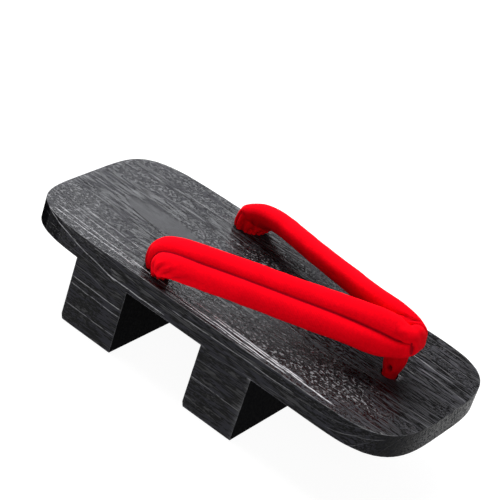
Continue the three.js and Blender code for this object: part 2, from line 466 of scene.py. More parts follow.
def all_parts(bm):
    return bm.verts[:] + bm.edges[:] + bm.faces[:]


def cut_by_planes(bm, axis, start, end, step):
    """Cuts every face on evenly spaced planes across one axis."""
    normal = Vector([1.0 if index == axis else 0.0 for index in range(3)])
    count = max(1, round((end - start) / step))
    for index in range(1, count):
        place = Vector((0, 0, 0))
        place[axis] = start + (end - start) * index / count
        bmesh.ops.bisect_plane(bm, geom=all_parts(bm), dist=1e-7, plane_co=place, plane_no=normal)


def cloth_grid(steps_along, steps_around):
    """A sheet with cloth coordinates, to be rolled into a tube, and the layer for the painted shade in its
    seams and creases.
    """
    bm = bmesh.new()
    bm.loops.layers.uv.new("cloth")
    bmesh.ops.create_grid(bm, x_segments=steps_along, y_segments=steps_around, size=0.5, calc_uvs=True)
    return bm, bm.verts.layers.float.new("crease")


def close_tube(bm):
    """Joins the rolled sheet's long edges, and fills its two ends."""
    bmesh.ops.remove_doubles(bm, verts=bm.verts[:], dist=1e-6)
    rim = [edge for edge in bm.edges if edge.is_boundary]
    bmesh.ops.holes_fill(bm, edges=rim, sides=0)
    bmesh.ops.recalc_face_normals(bm, faces=bm.faces[:])


# ---- helpers for materials ----


class NodeBench:
    """Adds nodes to one tree, and links or sets their inputs."""

    def __init__(self, tree):
        self.tree = tree

    def add(self, kind, inputs=None, **settings):
        made = self.tree.nodes.new(kind)
        for name, value in settings.items():
            setattr(made, name, value)
        self.fill(made.inputs, inputs or {})
        return made

    def fill(self, sockets, values):
        for socket, value in values.items():
            if isinstance(value, bpy.types.NodeSocket):
                self.tree.links.new(value, sockets[socket])
            else:
                sockets[socket].default_value = value

    def math(self, operation, first, second=None, third=None, clamped=False):
        values = {index: value for index, value in enumerate((first, second, third)) if value is not None}
        return self.add("ShaderNodeMath", values, operation=operation, use_clamp=clamped).outputs[0]

    def times(self, first, *others):
        for other in others:
            first = self.math("MULTIPLY", first, other)
        return first

    def times_plus(self, first, second, third, clamped=False):
        return self.math("MULTIPLY_ADD", first, second, third, clamped)

    def minus(self, first, second):
        return self.math("SUBTRACT", first, second)

    def size(self, value):
        return self.math("ABSOLUTE", value)

    def remap(self, value, low, high, new_low=0.0, new_high=1.0):
        values = {0: value, 1: low, 2: high, 3: new_low, 4: new_high}
        return self.add("ShaderNodeMapRange", values, interpolation_type="SMOOTHSTEP").outputs[0]

    def parts(self, vector):
        return self.add("ShaderNodeSeparateXYZ", {0: vector}).outputs

    def vector(self, x, y, z):
        return self.add("ShaderNodeCombineXYZ", {0: x, 1: y, 2: z}).outputs[0]

    def bump(self, strength, distance, height):
        values = {"Strength": strength, "Distance": distance, "Height": height}
        return self.add("ShaderNodeBump", values).outputs[0]

    def stored(self, name):
        return self.add("ShaderNodeAttribute", attribute_name=name).outputs["Fac"]

    def mix_color(self, share, first, second, blend="MIX"):
        made = self.add("ShaderNodeMix", {0: share, 6: first, 7: second}, data_type="RGBA", blend_type=blend)
        return made.outputs[2]

    def scaled(self, vector, scale):
        return self.add("ShaderNodeVectorMath", {0: vector, 1: scale}, operation="MULTIPLY").outputs[0]

    def noise(self, vector, scale=1.0, detail=2.0, roughness=0.5, distortion=0.0):
        values = {"Vector": vector, "Scale": scale, "Detail": detail, "Roughness": roughness}
        return self.add("ShaderNodeTexNoise", {**values, "Distortion": distortion}).outputs["Fac"]


def new_group(name, inputs, outputs):
    """A shader node group and a bench to fill it. An input of None takes a vector; others take values."""
    group = bpy.data.node_groups.new(name, "ShaderNodeTree")
    for socket, default in inputs.items():
        kind = "NodeSocketVector" if default is None else "NodeSocketFloat"
        made = group.interface.new_socket(name=socket, in_out="INPUT", socket_type=kind)
        if default is not None:
            made.default_value = default
    for socket in outputs:
        group.interface.new_socket(name=socket, in_out="OUTPUT", socket_type="NodeSocketFloat")
    bench = NodeBench(group)
    given = bench.add("NodeGroupInput").outputs
    out = bench.add("NodeGroupOutput").inputs
    return group, bench, given, out


def build_uneven_group(name):
    """Broad and fine unevenness, as a value around the middle of low and high."""
    inputs = {"Vector": None, "Broad Scale": 30.0, "Fine Scale": 400.0, "Low": 0.8, "High": 1.2}
    group, bench, given, out = new_group(name, inputs, ["Value"])
    broad = bench.noise(given["Vector"], given["Broad Scale"], 3.0)
    fine = bench.noise(given["Vector"], given["Fine Scale"], 2.0)
    both = bench.times_plus(fine, 0.35, bench.times(broad, 0.65))
    bench.fill(out, {"Value": bench.remap(both, 0.3, 0.7, given["Low"], given["High"])})
    return group


def build_weave_group(name):
    """Plain cotton weave that follows the cloth, with thread height and a soft nap over it."""
    inputs = {"Vector": None, "Threads Along": 300.0, "Threads Around": 130.0, "Nap Vector": None}
    group, bench, given, out = new_group(name, inputs, ["Height", "Shade"])
    place = bench.parts(given["Vector"])
    threads = []
    for index, count in enumerate(("Threads Along", "Threads Around")):
        turns = bench.times(place[index], bench.times(given[count], math.pi))
        threads.append(bench.size(bench.math("SINE", turns)))
    nap = bench.noise(given["Nap Vector"], 900.0, 3.0, 0.65)
    height = bench.times_plus(bench.times(*threads), 0.45, bench.times(nap, 0.55))
    bench.fill(out, {"Height": height, "Shade": bench.remap(height, 0.15, 0.7, 0.86, 1.05)})
    return group


def build_grain_group(name):
    """Brushed softwood grain: fibres run along X, and the hard rings stand up as fine lines."""
    inputs = {"Vector": None, "Ring": 0.0, "Calm": 0.0, "Speckled": 0.0}
    group, bench, given, out = new_group(name, inputs, ["Height", "Groove", "Line", "Fleck"])
    place = given["Vector"]
    ring = given["Ring"]
    calm = given["Calm"]
    rough = bench.minus(1.0, bench.times(calm, 0.85))
    # The fibres wander a few millimetres across the block as they run along it.
    along, across, up = bench.parts(place)
    wander = bench.minus(bench.noise(bench.scaled(place, DRIFT_SCALE), 1.0, 1.0), 0.5)
    flow = bench.vector(along, bench.math("ADD", across, bench.times(wander, 0.006)), up)
    fibre = bench.noise(bench.scaled(flow, FIBRE_SCALE), 1.0, 2.0, 0.6)
    strand = bench.noise(bench.scaled(flow, STRAND_SCALE), 1.0, 2.0, 0.55)
    speck = bench.noise(bench.scaled(flow, SPECK_SCALE), 1.0, 1.0, 0.5, 0.6)
    # Some rings, and the speckled patches, are cut into short specks in place of long fibres.
    along_ring = bench.vector(bench.times(along, 14.0), bench.times(ring, 0.45), 0.0)
    loose_rings = bench.remap(bench.noise(along_ring, 1.0, 1.0), *LOOSE_RING_RANGE)
    zone = bench.math("ADD", loose_rings, given["Speckled"], clamped=True)
    streak = bench.times_plus(bench.minus(speck, fibre), zone, fibre)
    # A hard ring shows as a fine line here and there, but not over the heart of the log.
    bend = bench.noise(bench.scaled(flow, RING_BEND_SCALE), 1.0, 1.0)
    inside = bench.math("FRACT", bench.times_plus(bend, 0.35, ring))
    from_ring = bench.size(bench.minus(inside, 0.5))
    shown = bench.remap(bench.noise(along_ring, 2.3, 1.0), *RING_SHOWN_RANGE)
    off_heart = bench.remap(bench.size(across), *HEART_RANGE)
    line = bench.times(bench.remap(from_ring, *RING_LINE_RANGE), shown, off_heart)
    groove = bench.times(bench.remap(streak, *GROOVE_RANGE), rough)
    groove = bench.times_plus(calm, 0.3, groove, clamped=True)
    fleck = bench.times(bench.remap(streak, *FLECK_RANGE), rough)
    height = bench.times_plus(groove, -0.5, bench.times(strand, rough, 0.3))
    height = bench.times_plus(line, 0.5, height)
    bench.fill(out, {"Height": height, "Groove": groove, "Line": line, "Fleck": fleck})
    return group


def build_line_group(name):
    """One fine line along the grain, which drifts from one cross place to another as it runs."""
    names = ("Along", "Across", "Start", "End", "From", "To", "Half Width")
    group, bench, given, out = new_group(name, dict.fromkeys(names, 0.0), ["Value"])
    run = bench.minus(given["End"], given["Start"])
    share = bench.math("DIVIDE", bench.minus(given["Along"], given["Start"]), run)
    rise = bench.times(bench.minus(given["To"], given["From"]), share)
    spot = bench.vector(given["Along"], given["From"], 0.0)
    waver = bench.times(bench.minus(bench.noise(spot, 90.0, 1.0), 0.5), 0.0016)
    middle = bench.math("ADD", bench.math("ADD", given["From"], rise), waver)
    away = bench.size(bench.minus(given["Across"], middle))
    body = bench.remap(away, 0.0, given["Half Width"], 1.0, 0.0)
    ends = bench.times(bench.remap(share, 0.0, 0.08), bench.remap(share, 0.92, 1.0, 1.0, 0.0))
    broken = bench.remap(bench.noise(spot, 260.0, 2.0), 0.32, 0.5, 0.25, 1.0)
    bench.fill(out, {"Value": bench.times(body, ends, broken)})
    return group


def place_group(bench, name, build, inputs):
    """Puts a shared group into a tree, builds it the first time, and gives back its outputs."""
    group = bpy.data.node_groups.get(name) or build(name)
    return bench.add("ShaderNodeGroup", inputs, node_tree=group).outputs


def unevenness(bench, place, broad, fine, low, high):
    inputs = {"Vector": place, "Broad Scale": broad, "Fine Scale": fine, "Low": low, "High": high}
    return place_group(bench, "Unevenness", build_uneven_group, inputs)["Value"]


def new_material(name):
    material = bpy.data.materials.new(name)
    material.use_nodes = True
    material.node_tree.nodes.clear()
    bench = NodeBench(material.node_tree)
    shader = bench.add("ShaderNodeBsdfPrincipled")
    out = bench.add("ShaderNodeOutputMaterial")
    bench.tree.links.new(shader.outputs[0], out.inputs[0])
    return material, bench, shader


def grain_line(bench, row, along, across):
    """One row of the fine lines, drawn on the face that it is for."""
    inputs = {
        "Along": along,
        "Across": across,
        "Start": row["start"] * MM,
        "End": row["end"] * MM,
        "From": row["from"] * MM,
        "To": row["to"] * MM,
        "Half Width": row["half_width"] * MM,
    }
    return place_group(bench, "Grain Line", build_line_group, inputs)["Value"]


def lacquered_wood_material(settings, finish):
    """The brushed black finish for one kind of face, with that kind's fine lines."""
    material, bench, shader = new_material(finish["name"])
    place = bench.add("ShaderNodeTexCoord").outputs["Object"]
    speckled = bench.stored("speckled")
    grain = place_group(
        bench,
        "Brushed Grain",
        build_grain_group,
        {
            "Vector": place,
            "Ring": bench.stored("growth_ring"),
            "Calm": bench.stored("calm_patch"),
            "Speckled": bench.math("ADD", speckled, finish["speckle_shift"]),
        },
    )
    groove = grain["Groove"]
    # Faces that look along the grain, the heel's end and the teeth's sawn faces, are darkened as painted
    # shade, and are smoother.
    facing = bench.parts(bench.add("ShaderNodeNewGeometry").outputs["True Normal"])
    end_shade_and_smoothing = bench.remap(bench.size(facing[0]), *END_SHADE_AND_SMOOTHING_RANGE)
    # lit is the thin dull lacquer in the grooves; it fades as painted shade in the speckled patches, on
    # faces that look along the grain, and where the finish's light share is small.
    uneven = unevenness(bench, place, 22.0, 260.0, 0.55, 1.35)
    patch_shade = bench.times_plus(bench.math("POWER", speckled, PATCH_ONSET), PATCH_PAINTED_SHADE, 1.0)
    lit = bench.times(groove, uneven, finish["light_share"], end_shade_and_smoothing, patch_shade)
    # pale is what is brushed bare: flecks, hard rings, worn edges and the listed lines; on the edges and
    # along the deck's near edge it is also a painted highlight.
    fleck_share = bench.times_plus(speckled, PATCH_FLECKS, finish["fleck_share"])
    pale = bench.times(grain["Fleck"], fleck_share)
    pale = bench.times_plus(grain["Line"], finish["line_share"], pale)
    pale = bench.times_plus(bench.stored("worn_edge_highlight"), WORN_EDGE_HIGHLIGHT_SHARE, pale)
    pale = bench.times(pale, bench.times(end_shade_and_smoothing, finish["pale_share"]))
    dark = 0.0
    parts = bench.parts(place)
    for row in FINE_LINES[finish["lines"]]:
        value = grain_line(bench, row, parts[0], parts[1 if finish["lines"] == "deck" else 2])
        if row["strength"] > 0:
            pale = bench.times_plus(value, row["strength"], pale, clamped=True)
        else:
            dark = bench.times_plus(value, -row["strength"], dark, clamped=True)
    color = bench.mix_color(lit, (*settings.lacquer, 1), (*settings.rubbed, 1))
    color = bench.mix_color(pale, color, (*settings.pale_grain_and_glint, 1))
    color = bench.mix_color(dark, color, (*settings.lacquer, 1))
    matt = bench.times(groove, bench.times_plus(speckled, PATCH_GLOSS, GROOVE_MATT))
    rough = bench.math("ADD", matt, finish["roughness"], clamped=True)
    rough = bench.times_plus(dark, 0.6, rough, clamped=True)
    relief = bench.times(bench.times_plus(pale, 0.4, grain["Height"]), end_shade_and_smoothing)
    bump = bench.bump(1.0, GRAIN_RELIEF, relief)
    bench.fill(shader.inputs, {"Base Color": color, "Roughness": rough, "Normal": bump})
    bench.fill(shader.inputs, {"Specular IOR Level": finish["specular"]})
    return material


def cotton_material(name, settings, threads_along, threads_around, darker=1.0):
    material, bench, shader = new_material(name)
    coordinates = bench.add("ShaderNodeTexCoord").outputs
    inputs = {
        "Vector": coordinates["UV"],
        "Threads Along": threads_along,
        "Threads Around": threads_around,
        "Nap Vector": coordinates["Object"],
    }
    weave = place_group(bench, "Cotton Weave", build_weave_group, inputs)
    shade = bench.times(weave["Shade"], unevenness(bench, coordinates["Object"], 45.0, 500.0, 0.9, 1.08))
    grey = bench.add("ShaderNodeCombineColor", {0: shade, 1: shade, 2: shade}).outputs[0]
    # darker scales the dye down; on the thong it is painted shade under the nose.
    dye = bench.mix_color(1.0, tuple(part * darker for part in settings.dye) + (1,), grey, "MULTIPLY")
    # Seams, creases and folds are darkened toward the seam colour as painted shade.
    color = bench.mix_color(bench.stored("crease"), dye, (*settings.seam_painted_shade, 1))
    bump = bench.bump(0.35, WEAVE_RELIEF, weave["Height"])
    bench.fill(shader.inputs, {"Base Color": color, "Normal": bump, **COTTON_FACE})
    return material


# ---- wooden block ----


def half_width_at(settings, x):
    share = (x + LENGTH / 2) / LENGTH
    heel = settings.heel_half_width / MM
    return heel + (settings.toe_half_width / MM - heel) * share


def outline_point(settings, angle):
    """A point on the deck's outline for an angle from the toe."""
    along, across = math.cos(angle), math.sin(angle)
    end = DECK_ENDS["toe" if along > -1e-9 else "heel"]
    reach = end["length"] * (abs(along) ** (2 / end["power"]) - 1) + LENGTH / 2
    x = reach if along > -1e-9 else -reach
    return x, half_width_at(settings, x) * signed_power(across, 2 / end["power"])


def block_body(settings):
    """The outline carried down to the floor as one solid."""
    bm = bmesh.new()
    bmesh.ops.create_circle(bm, cap_ends=True, segments=144, radius=1)
    for vert in bm.verts:
        x, y = outline_point(settings, math.atan2(vert.co.y, vert.co.x))
        vert.co = Vector((x, y, 0)) * MM
    raised = bmesh.ops.extrude_face_region(bm, geom=bm.faces[:])
    top = [part for part in raised["geom"] if isinstance(part, bmesh.types.BMVert)]
    bmesh.ops.translate(bm, verts=top, vec=(0, 0, DECK_TOP * MM))
    bmesh.ops.recalc_face_normals(bm, faces=bm.faces[:])
    return mesh_object("block_body", bm)


def cut_out(body, cutter):
    modifier = body.modifiers.new("cut", "BOOLEAN")
    modifier.operation = "DIFFERENCE"
    modifier.solver = "EXACT"
    modifier.object = cutter
    mesh = applied_mesh(body)
    body.modifiers.clear()
    old = body.data
    body.data = mesh
    bpy.data.meshes.remove(old)
    remove_object(cutter)


def gap_cutter(settings, back, front, before_tooth):
    """A box that clears the space under the deck, sloped where it meets a tooth's chamfered rear edge."""
    low, high = -6.0, DECK_TOP - settings.deck_thickness / MM
    up = TOOTH_CHAMFER["up"]
    bm = bmesh.new()
    bmesh.ops.create_cube(bm, size=1.0)
    bmesh.ops.scale(bm, vec=Vector((front - back, 160, high - low)) * MM, verts=bm.verts[:])
    bmesh.ops.translate(bm, vec=Vector(((front + back) / 2, 0, (high + low) / 2)) * MM, verts=bm.verts[:])
    if before_tooth:
        chamfer_top = Vector((0, 0, up)) * MM
        bmesh.ops.bisect_plane(bm, geom=all_parts(bm), plane_co=chamfer_top, plane_no=(0, 0, 1))
        for vert in bm.verts:
            if vert.co.x > (front - 0.1) * MM and vert.co.z < (up - 0.1) * MM:
                vert.co.x += TOOTH_CHAMFER["along"] * (up - vert.co.z / MM) / up * MM
    return mesh_object("gap_cutter", bm)


def rod(place, height, radius, depth, segments):
    """An upright round bar, with its middle at a height."""
    bm = bmesh.new()
    bmesh.ops.create_cone(bm, cap_ends=True, segments=segments, radius1=radius, radius2=radius, depth=depth)
    bmesh.ops.translate(bm, vec=Vector((place["x"], place["y"], height)) * MM, verts=bm.verts[:])
    return bm


def growth_ring(settings, x, y, z):
    """How many rings a point is from the heart of the log, which runs lengthwise under the deck."""
    swell = 4.5 * bell((x - CALM_PATCH["x"]) / 26)
    heart_z = 15.0 + swell + 2.0 * math.sin(x / 47)
    heart_y = 1.0 + 2.5 * math.sin(x / 70 + 1.2)
    spread = math.hypot(y - heart_y, z - heart_z)
    broad = uneven_at(x / 60, y / 26, z / 26)
    fine = uneven_at(x / 19 + 9, y / 9, z / 9)
    wander = 1.3 * broad + 0.3 * fine
    return (spread + wander) / (settings.ring_spacing / MM)


def from_patch(patch, x, y):
    """How far a point is from a patch's middle, where 1 is its edge."""
    return math.hypot((x - patch["x"]) / patch["half_length"], (y - patch["y"]) / patch["half_width"])


def brush_grain(bm, settings):
    """Raises the hard rings a little, and keeps the ring and patch values, and the pale of worn edges with
    its painted highlight, for the finish.
    """
    ring_layer = bm.verts.layers.float.new("growth_ring")
    calm_layer = bm.verts.layers.float.new("calm_patch")
    speckle_layer = bm.verts.layers.float.new("speckled")
    edge_highlight_layer = bm.verts.layers.float.new("worn_edge_highlight")
    bm.normal_update()
    moves = []
    for vert in bm.verts:
        x, y, z = vert.co / MM
        ring = growth_ring(settings, x, y, z)
        inside = (ring + 0.25 * uneven_at(x / 30, y / 9, z / 9)) % 1.0
        ridge = bell((inside - 0.5) / 0.17)
        strength = 0.55 + 0.9 * uneven_at(x / 26, y / 10 + 4, z / 10)
        across_grain = 1 - abs(vert.normal.x)
        moves.append(vert.normal * ridge * clamp(strength, 0.1, 1) * settings.ridge_height * across_grain)
        vert[ring_layer] = ring
        vert[calm_layer] = smooth_step(1.15, 0.85, from_patch(CALM_PATCH, x, y)) * smooth_step(50, 54, z)
        ragged = 0.5 * uneven_at(x / 14, y / 8, 3)
        shown = 0.0
        for patch in SPECKLED_PATCHES:
            inside_patch = smooth_step(1.15, 0.75, from_patch(patch, x, y) + ragged)
            shown = max(shown, patch["strength"] * inside_patch)
        vert[speckle_layer] = shown * smooth_step(40, 50, z)
        # Eased edges are marked pale: wear, and a painted highlight along the edge.
        turn = max((face.normal.angle(vert.normal, 0) for face in vert.link_faces), default=0)
        jag = 0.5 + 0.9 * uneven_at(x / 7, y / 5, z / 5)
        vert[edge_highlight_layer] = smooth_step(0.12, 0.5, turn) * clamp(jag)
    for vert, move in zip(bm.verts, moves):
        vert.co += move


def face_kind(face, deck_bottom):
    """Which finish a face of the block takes."""
    if face.normal.z > DECK_LEAN:
        return "deck"
    if abs(face.normal.x) > SAWN_LEAN and face.calc_center_median().z < deck_bottom:
        return "end"
    if face.normal.x < HEEL_LEAN:
        return "heel"
    return "turn" if face.normal.x < TURN_LEAN else "side"


class GETA_OT_block(bpy.types.Operator):
    """Build the deck and its two teeth from one block of brushed, lacquered wood"""

    bl_idname = "geta.block"
    bl_label = "Wooden Block"

    def execute(self, context):
        settings = context.scene.geta_block
        body = block_body(settings)
        reach = LENGTH / 2 + 20
        starts = [-reach] + [tooth["front"] for tooth in TEETH]
        ends = [tooth["back"] for tooth in TEETH] + [reach]
        for back, front in zip(starts, ends):
            cut_out(body, gap_cutter(settings, back, front, front < reach))
        for hole in HOLES:
            bar = rod(hole, DECK_TOP, hole["radius"] * MM, 60 * MM, 40)
            cut_out(body, mesh_object("hole_cutter", bar))
        bm = bmesh.new()
        bm.from_mesh(body.data)
        remove_object(body)
        bmesh.ops.remove_doubles(bm, verts=bm.verts[:], dist=1e-6)
        bmesh.ops.dissolve_limit(bm, angle_limit=0.01, verts=bm.verts[:], edges=bm.edges[:])
        sharp = [edge for edge in bm.edges if edge.is_manifold and edge.calc_face_angle() > SHARP_EDGE]
        bmesh.ops.bevel(
            bm, geom=sharp, affect="EDGES", offset=settings.edge_round, offset_type="OFFSET", segments=2,
            profile=0.5, material=-1, clamp_overlap=True,
        )
        for axis, step in enumerate(BLOCK_STEPS):
            cut_by_planes(bm, axis, BLOCK_LOW[axis], BLOCK_HIGH[axis], step * MM)
        bmesh.ops.triangulate(bm, faces=[face for face in bm.faces if len(face.verts) > 4])
        brush_grain(bm, settings)
        kinds = [finish["face"] for finish in FINISHES]
        deck_bottom = DECK_TOP * MM - settings.deck_thickness
        for face in bm.faces:
            face.material_index = kinds.index(face_kind(face, deck_bottom))
        piece = mesh_object("geta_block", bm)
        for finish in FINISHES:
            piece.data.materials.append(lacquered_wood_material(settings, finish))
        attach(piece, "root")
        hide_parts("wood_block")
        return {"FINISHED"}


# ---- straps ----


def band_rows(side):
    """The band table with one side's changes in it."""
    rows = [dict(row) for row in BAND_ROWS]
    for index, change in BAND_CHANGES[side].items():
        rows[index].update(change)
    return rows


def band_frame(rows, place):
    """Centre, width direction, face direction, half width and half thickness of a band at a place."""
    last = len(rows) - 1
    centre = Vector(read_columns(rows, ["x", "y", "z"], place))
    turn, drop, width, thickness = read_columns(rows, ["turn", "drop", "width", "thickness"], place)
    ahead = Vector(read_columns(rows, ["x", "y", "z"], min(place + 0.05, last)))
    behind = Vector(read_columns(rows, ["x", "y", "z"], max(place - 0.05, 0)))
    tangent = (ahead - behind).normalized()
    turn, drop = math.radians(turn), math.radians(drop)
    across = Vector((math.cos(turn) * math.cos(drop), math.sin(turn) * math.cos(drop), -math.sin(drop)))
    across = (across - tangent * across.dot(tangent)).normalized()
    return centre, across, across.cross(tangent).normalized(), width / 2, thickness / 2


def hand_creases(side, place, degrees):
    """How far the listed creases push the cloth at a point, and how much painted shade their troughs take
    there.
    """
    push = 0.0
    painted_shade_share = 0.0
    for row in BAND_CREASES[side]:
        run = place - row["place"]
        swing = (degrees - row["around"] - row["slant"] * run + 180) % 360 - 180
        trough = bell(run / row["reach"], swing / row["width"])
        ridge = bell(run / row["reach"], (swing - 1.9 * row["width"]) / row["width"])
        push += row["depth"] * (0.5 * ridge - trough)
        painted_shade_share = max(painted_shade_share, 0.5 * trough)
    return push, painted_shade_share


def band_point(settings, rows, side, place, angle, slimmer):
    """A point on a band, and the painted shade that it takes in seams, creases and pleats, from 0 to 1."""
    centre, across, face, half_width, half_thickness = band_frame(rows, place)
    u = signed_power(math.cos(angle), 2 / BAND_SQUARENESS)
    v = signed_power(math.sin(angle), 2 / BAND_SQUARENESS)
    outer = math.sin(angle) > 0
    depth = settings.seam_depth * smooth_step(0.2, 1.0, place) if outer else INNER_SEAM_DEPTH
    seam = depth * math.exp(-((abs(u) / SEAM_SPREAD) ** 1.15))
    point = centre + across * u * (half_width - slimmer)
    point += face * v * (1 - seam) * (half_thickness - slimmer)
    outward = (across * u / half_width + face * v / half_thickness).normalized()
    # The bottom of the outer seam takes painted shade, and so does the right band's front end where it meets
    # the nose.
    painted_shade_share = smooth_step(0.55, 1.0, seam / settings.seam_depth) if outer else 0.0
    if side == "right":
        painted_shade_share = max(painted_shade_share, 0.75 * smooth_step(0.8, 0.5, place))
    push, crease_trough_shade = hand_creases(side, place, math.degrees(angle) % 360)
    # The cloth is gathered into pleats where it goes down into the rear hole, and their troughs take painted
    # shade.
    gather = smooth_step(8.9, 10.6, place)
    phase = 1.7 if side == "left" else 0.2
    pleat = math.cos(PLEATS * angle + phase + 1.3 * math.sin(2 * angle + phase))
    push += 0.75 * gather * (signed_power(pleat, 0.6) - 0.3)
    painted_shade_share = max(painted_shade_share, crease_trough_shade, 0.45 * gather * clamp(-pleat))
    shift = 7 if side == "left" else 0
    push += 0.28 * uneven_at(point.x / 9, point.y / 9 + shift, point.z / 9)
    return point + outward * push, painted_shade_share


def band_mesh(settings, side, slimmer):
    """A padded tube from the nose to the rear hole, with its own cloth coordinates."""
    rows = band_rows(side)
    last = len(rows) - 1
    bm, crease_shade_layer = cloth_grid(BAND_STEPS["along"], BAND_STEPS["around"])
    hold_layer = bm.verts.layers.float.new("hold")
    mirror = 1 if side == "left" else -1
    for vert in bm.verts:
        along, around = vert.co.x + 0.5, vert.co.y + 0.5
        place = along * last
        angle = 2 * math.pi * around - math.pi / 2
        point, painted_shade_share = band_point(settings, rows, side, place, angle, slimmer)
        on_seam = abs(abs(math.degrees(angle)) - 90) < 3.5
        near_end = max(smooth_step(1.6, 0.6, place), smooth_step(9.4, 10.4, place))
        vert[crease_shade_layer] = painted_shade_share
        vert[hold_layer] = max(1.0 if on_seam else 0.0, near_end)
        vert.co = Vector((point.x, point.y * mirror, point.z + DECK_TOP)) * MM
    close_tube(bm)
    return bm


def rest_on_deck(mesh):
    """Flattens whatever would sink below the deck's top, over the holes too, to just above it."""
    lowest = (DECK_TOP + DECK_CLEARANCE) * MM
    for vert in mesh.vertices:
        vert.co.z = max(vert.co.z, lowest)


def settle_cloth(piece, settings):
    """Lets the stuffing press the cloth out between its seams, then keeps the settled shape."""
    mesh = piece.data
    scene = bpy.context.scene
    start = [vert.co.copy() for vert in mesh.vertices]
    hold = piece.vertex_groups.new(name="hold")
    for index, value in enumerate(mesh.attributes["hold"].data):
        if value.value > 0.001:
            hold.add([index], value.value, "REPLACE")
    modifier = piece.modifiers.new("Settle", "CLOTH")
    for key, value in CLOTH_SETTINGS.items():
        setattr(modifier.settings, key, value)
    modifier.settings.uniform_pressure_force = settings.pressure
    modifier.settings.effector_weights.gravity = 0
    modifier.collision_settings.use_collision = False
    modifier.point_cache.frame_start = 1
    modifier.point_cache.frame_end = settings.settle_frames
    for number in range(1, settings.settle_frames + 1):
        scene.frame_set(number)
    settled = applied_mesh(piece)
    places = [vert.co.copy() for vert in settled.vertices]
    piece.modifiers.clear()
    piece.vertex_groups.clear()
    bpy.data.meshes.remove(settled)
    limit = settings.settle_limit
    for vert, before, after in zip(mesh.vertices, start, places):
        move = after - before
        if move.length > limit:
            move = move.normalized() * limit
        vert.co = before + move
    scene.frame_set(1)


def nose_mesh():
    """The rounded wrap round the front, where the two bands meet."""
    centre = Vector(NOSE_CENTRE) + Vector((0, 0, DECK_TOP))
    bm = bmesh.new()
    bmesh.ops.create_uvsphere(bm, u_segments=96, v_segments=64, radius=1, calc_uvs=False)
    crease_shade_layer = bm.verts.layers.float.new("crease")
    for vert in bm.verts:
        direction = vert.co.normalized()
        size = sum(abs(part) ** 3 for part in direction) ** (-1 / 3)
        point = Vector([part * size * half for part, half in zip(direction, NOSE_REACH)])
        fold = bell((point.y + 6.6) / 0.8) * smooth_step(2, 6, point.x) * smooth_step(3, -1, point.z)
        pit_x, pit_y = point.x - NOSE_PIT[0], point.y - NOSE_PIT[1]
        pit = bell(pit_x / 3.4, pit_y / 2.2) * smooth_step(4, 9, point.z)
        ruffle = math.cos(7 * math.atan2(pit_y, pit_x)) * smooth_step(5, 10, point.z)
        ruffle *= bell((math.hypot(pit_x, pit_y) - 5.0) / 2.6)
        rumple = 0.3 * noise.noise(point / 4.0)
        point += direction * (rumple - 0.5 * fold + 0.3 * ruffle)
        if point.y < 0:
            point.y *= 1 - 0.13 * smooth_step(4, 0, point.z)
        point.y -= 0.22 * max(point.z, 0)
        point.z -= 3.2 * pit
        # The fold at the near side and the pit on top take painted shade in their colour.
        vert[crease_shade_layer] = clamp(0.7 * fold + 0.7 * pit)
        vert.co = (point + centre) * MM
    return bm


def tail_mesh(side):
    hole = next(row for row in HOLES if row["name"] == "rear " + side)
    top, low = DECK_TOP + TAIL_ABOVE, DECK_TOP - TAIL_BELOW
    return rod(hole, (top + low) / 2, (hole["radius"] - TAIL_PLAY) * MM, (top - low) * MM, 32)


def add_subdivision(piece, levels):
    modifier = piece.modifiers.new("Soft", "SUBSURF")
    modifier.levels = levels
    modifier.render_levels = levels


class GETA_OT_straps(bpy.types.Operator):
    """Build the two padded bands, the wrap where they meet, and their tails in the rear holes"""

    bl_idname = "geta.straps"
    bl_label = "Padded Straps"

    def execute(self, context):
        settings = context.scene.geta_straps
        cloth = cotton_material("Red cotton", settings, 380, 170)
        for side in ("left", "right"):
            slimmer = SETTLING_ROOM
            bm = band_mesh(settings, side, slimmer)
            band = mesh_object("strap_band_" + side, bm, cloth)
            settle_cloth(band, settings)
            rest_on_deck(band.data)
            add_subdivision(band, 1)
            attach(band, "root")
            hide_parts("strap_pair")
            tail = mesh_object("strap_tail_" + side, tail_mesh(side), cloth)
            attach(tail, "root")
            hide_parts("strap_pair")
        nose = mesh_object("strap_nose", nose_mesh(), cloth)
        add_subdivision(nose, 1)
        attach(nose, "root")
        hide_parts("strap_pair")
        return {"FINISHED"}


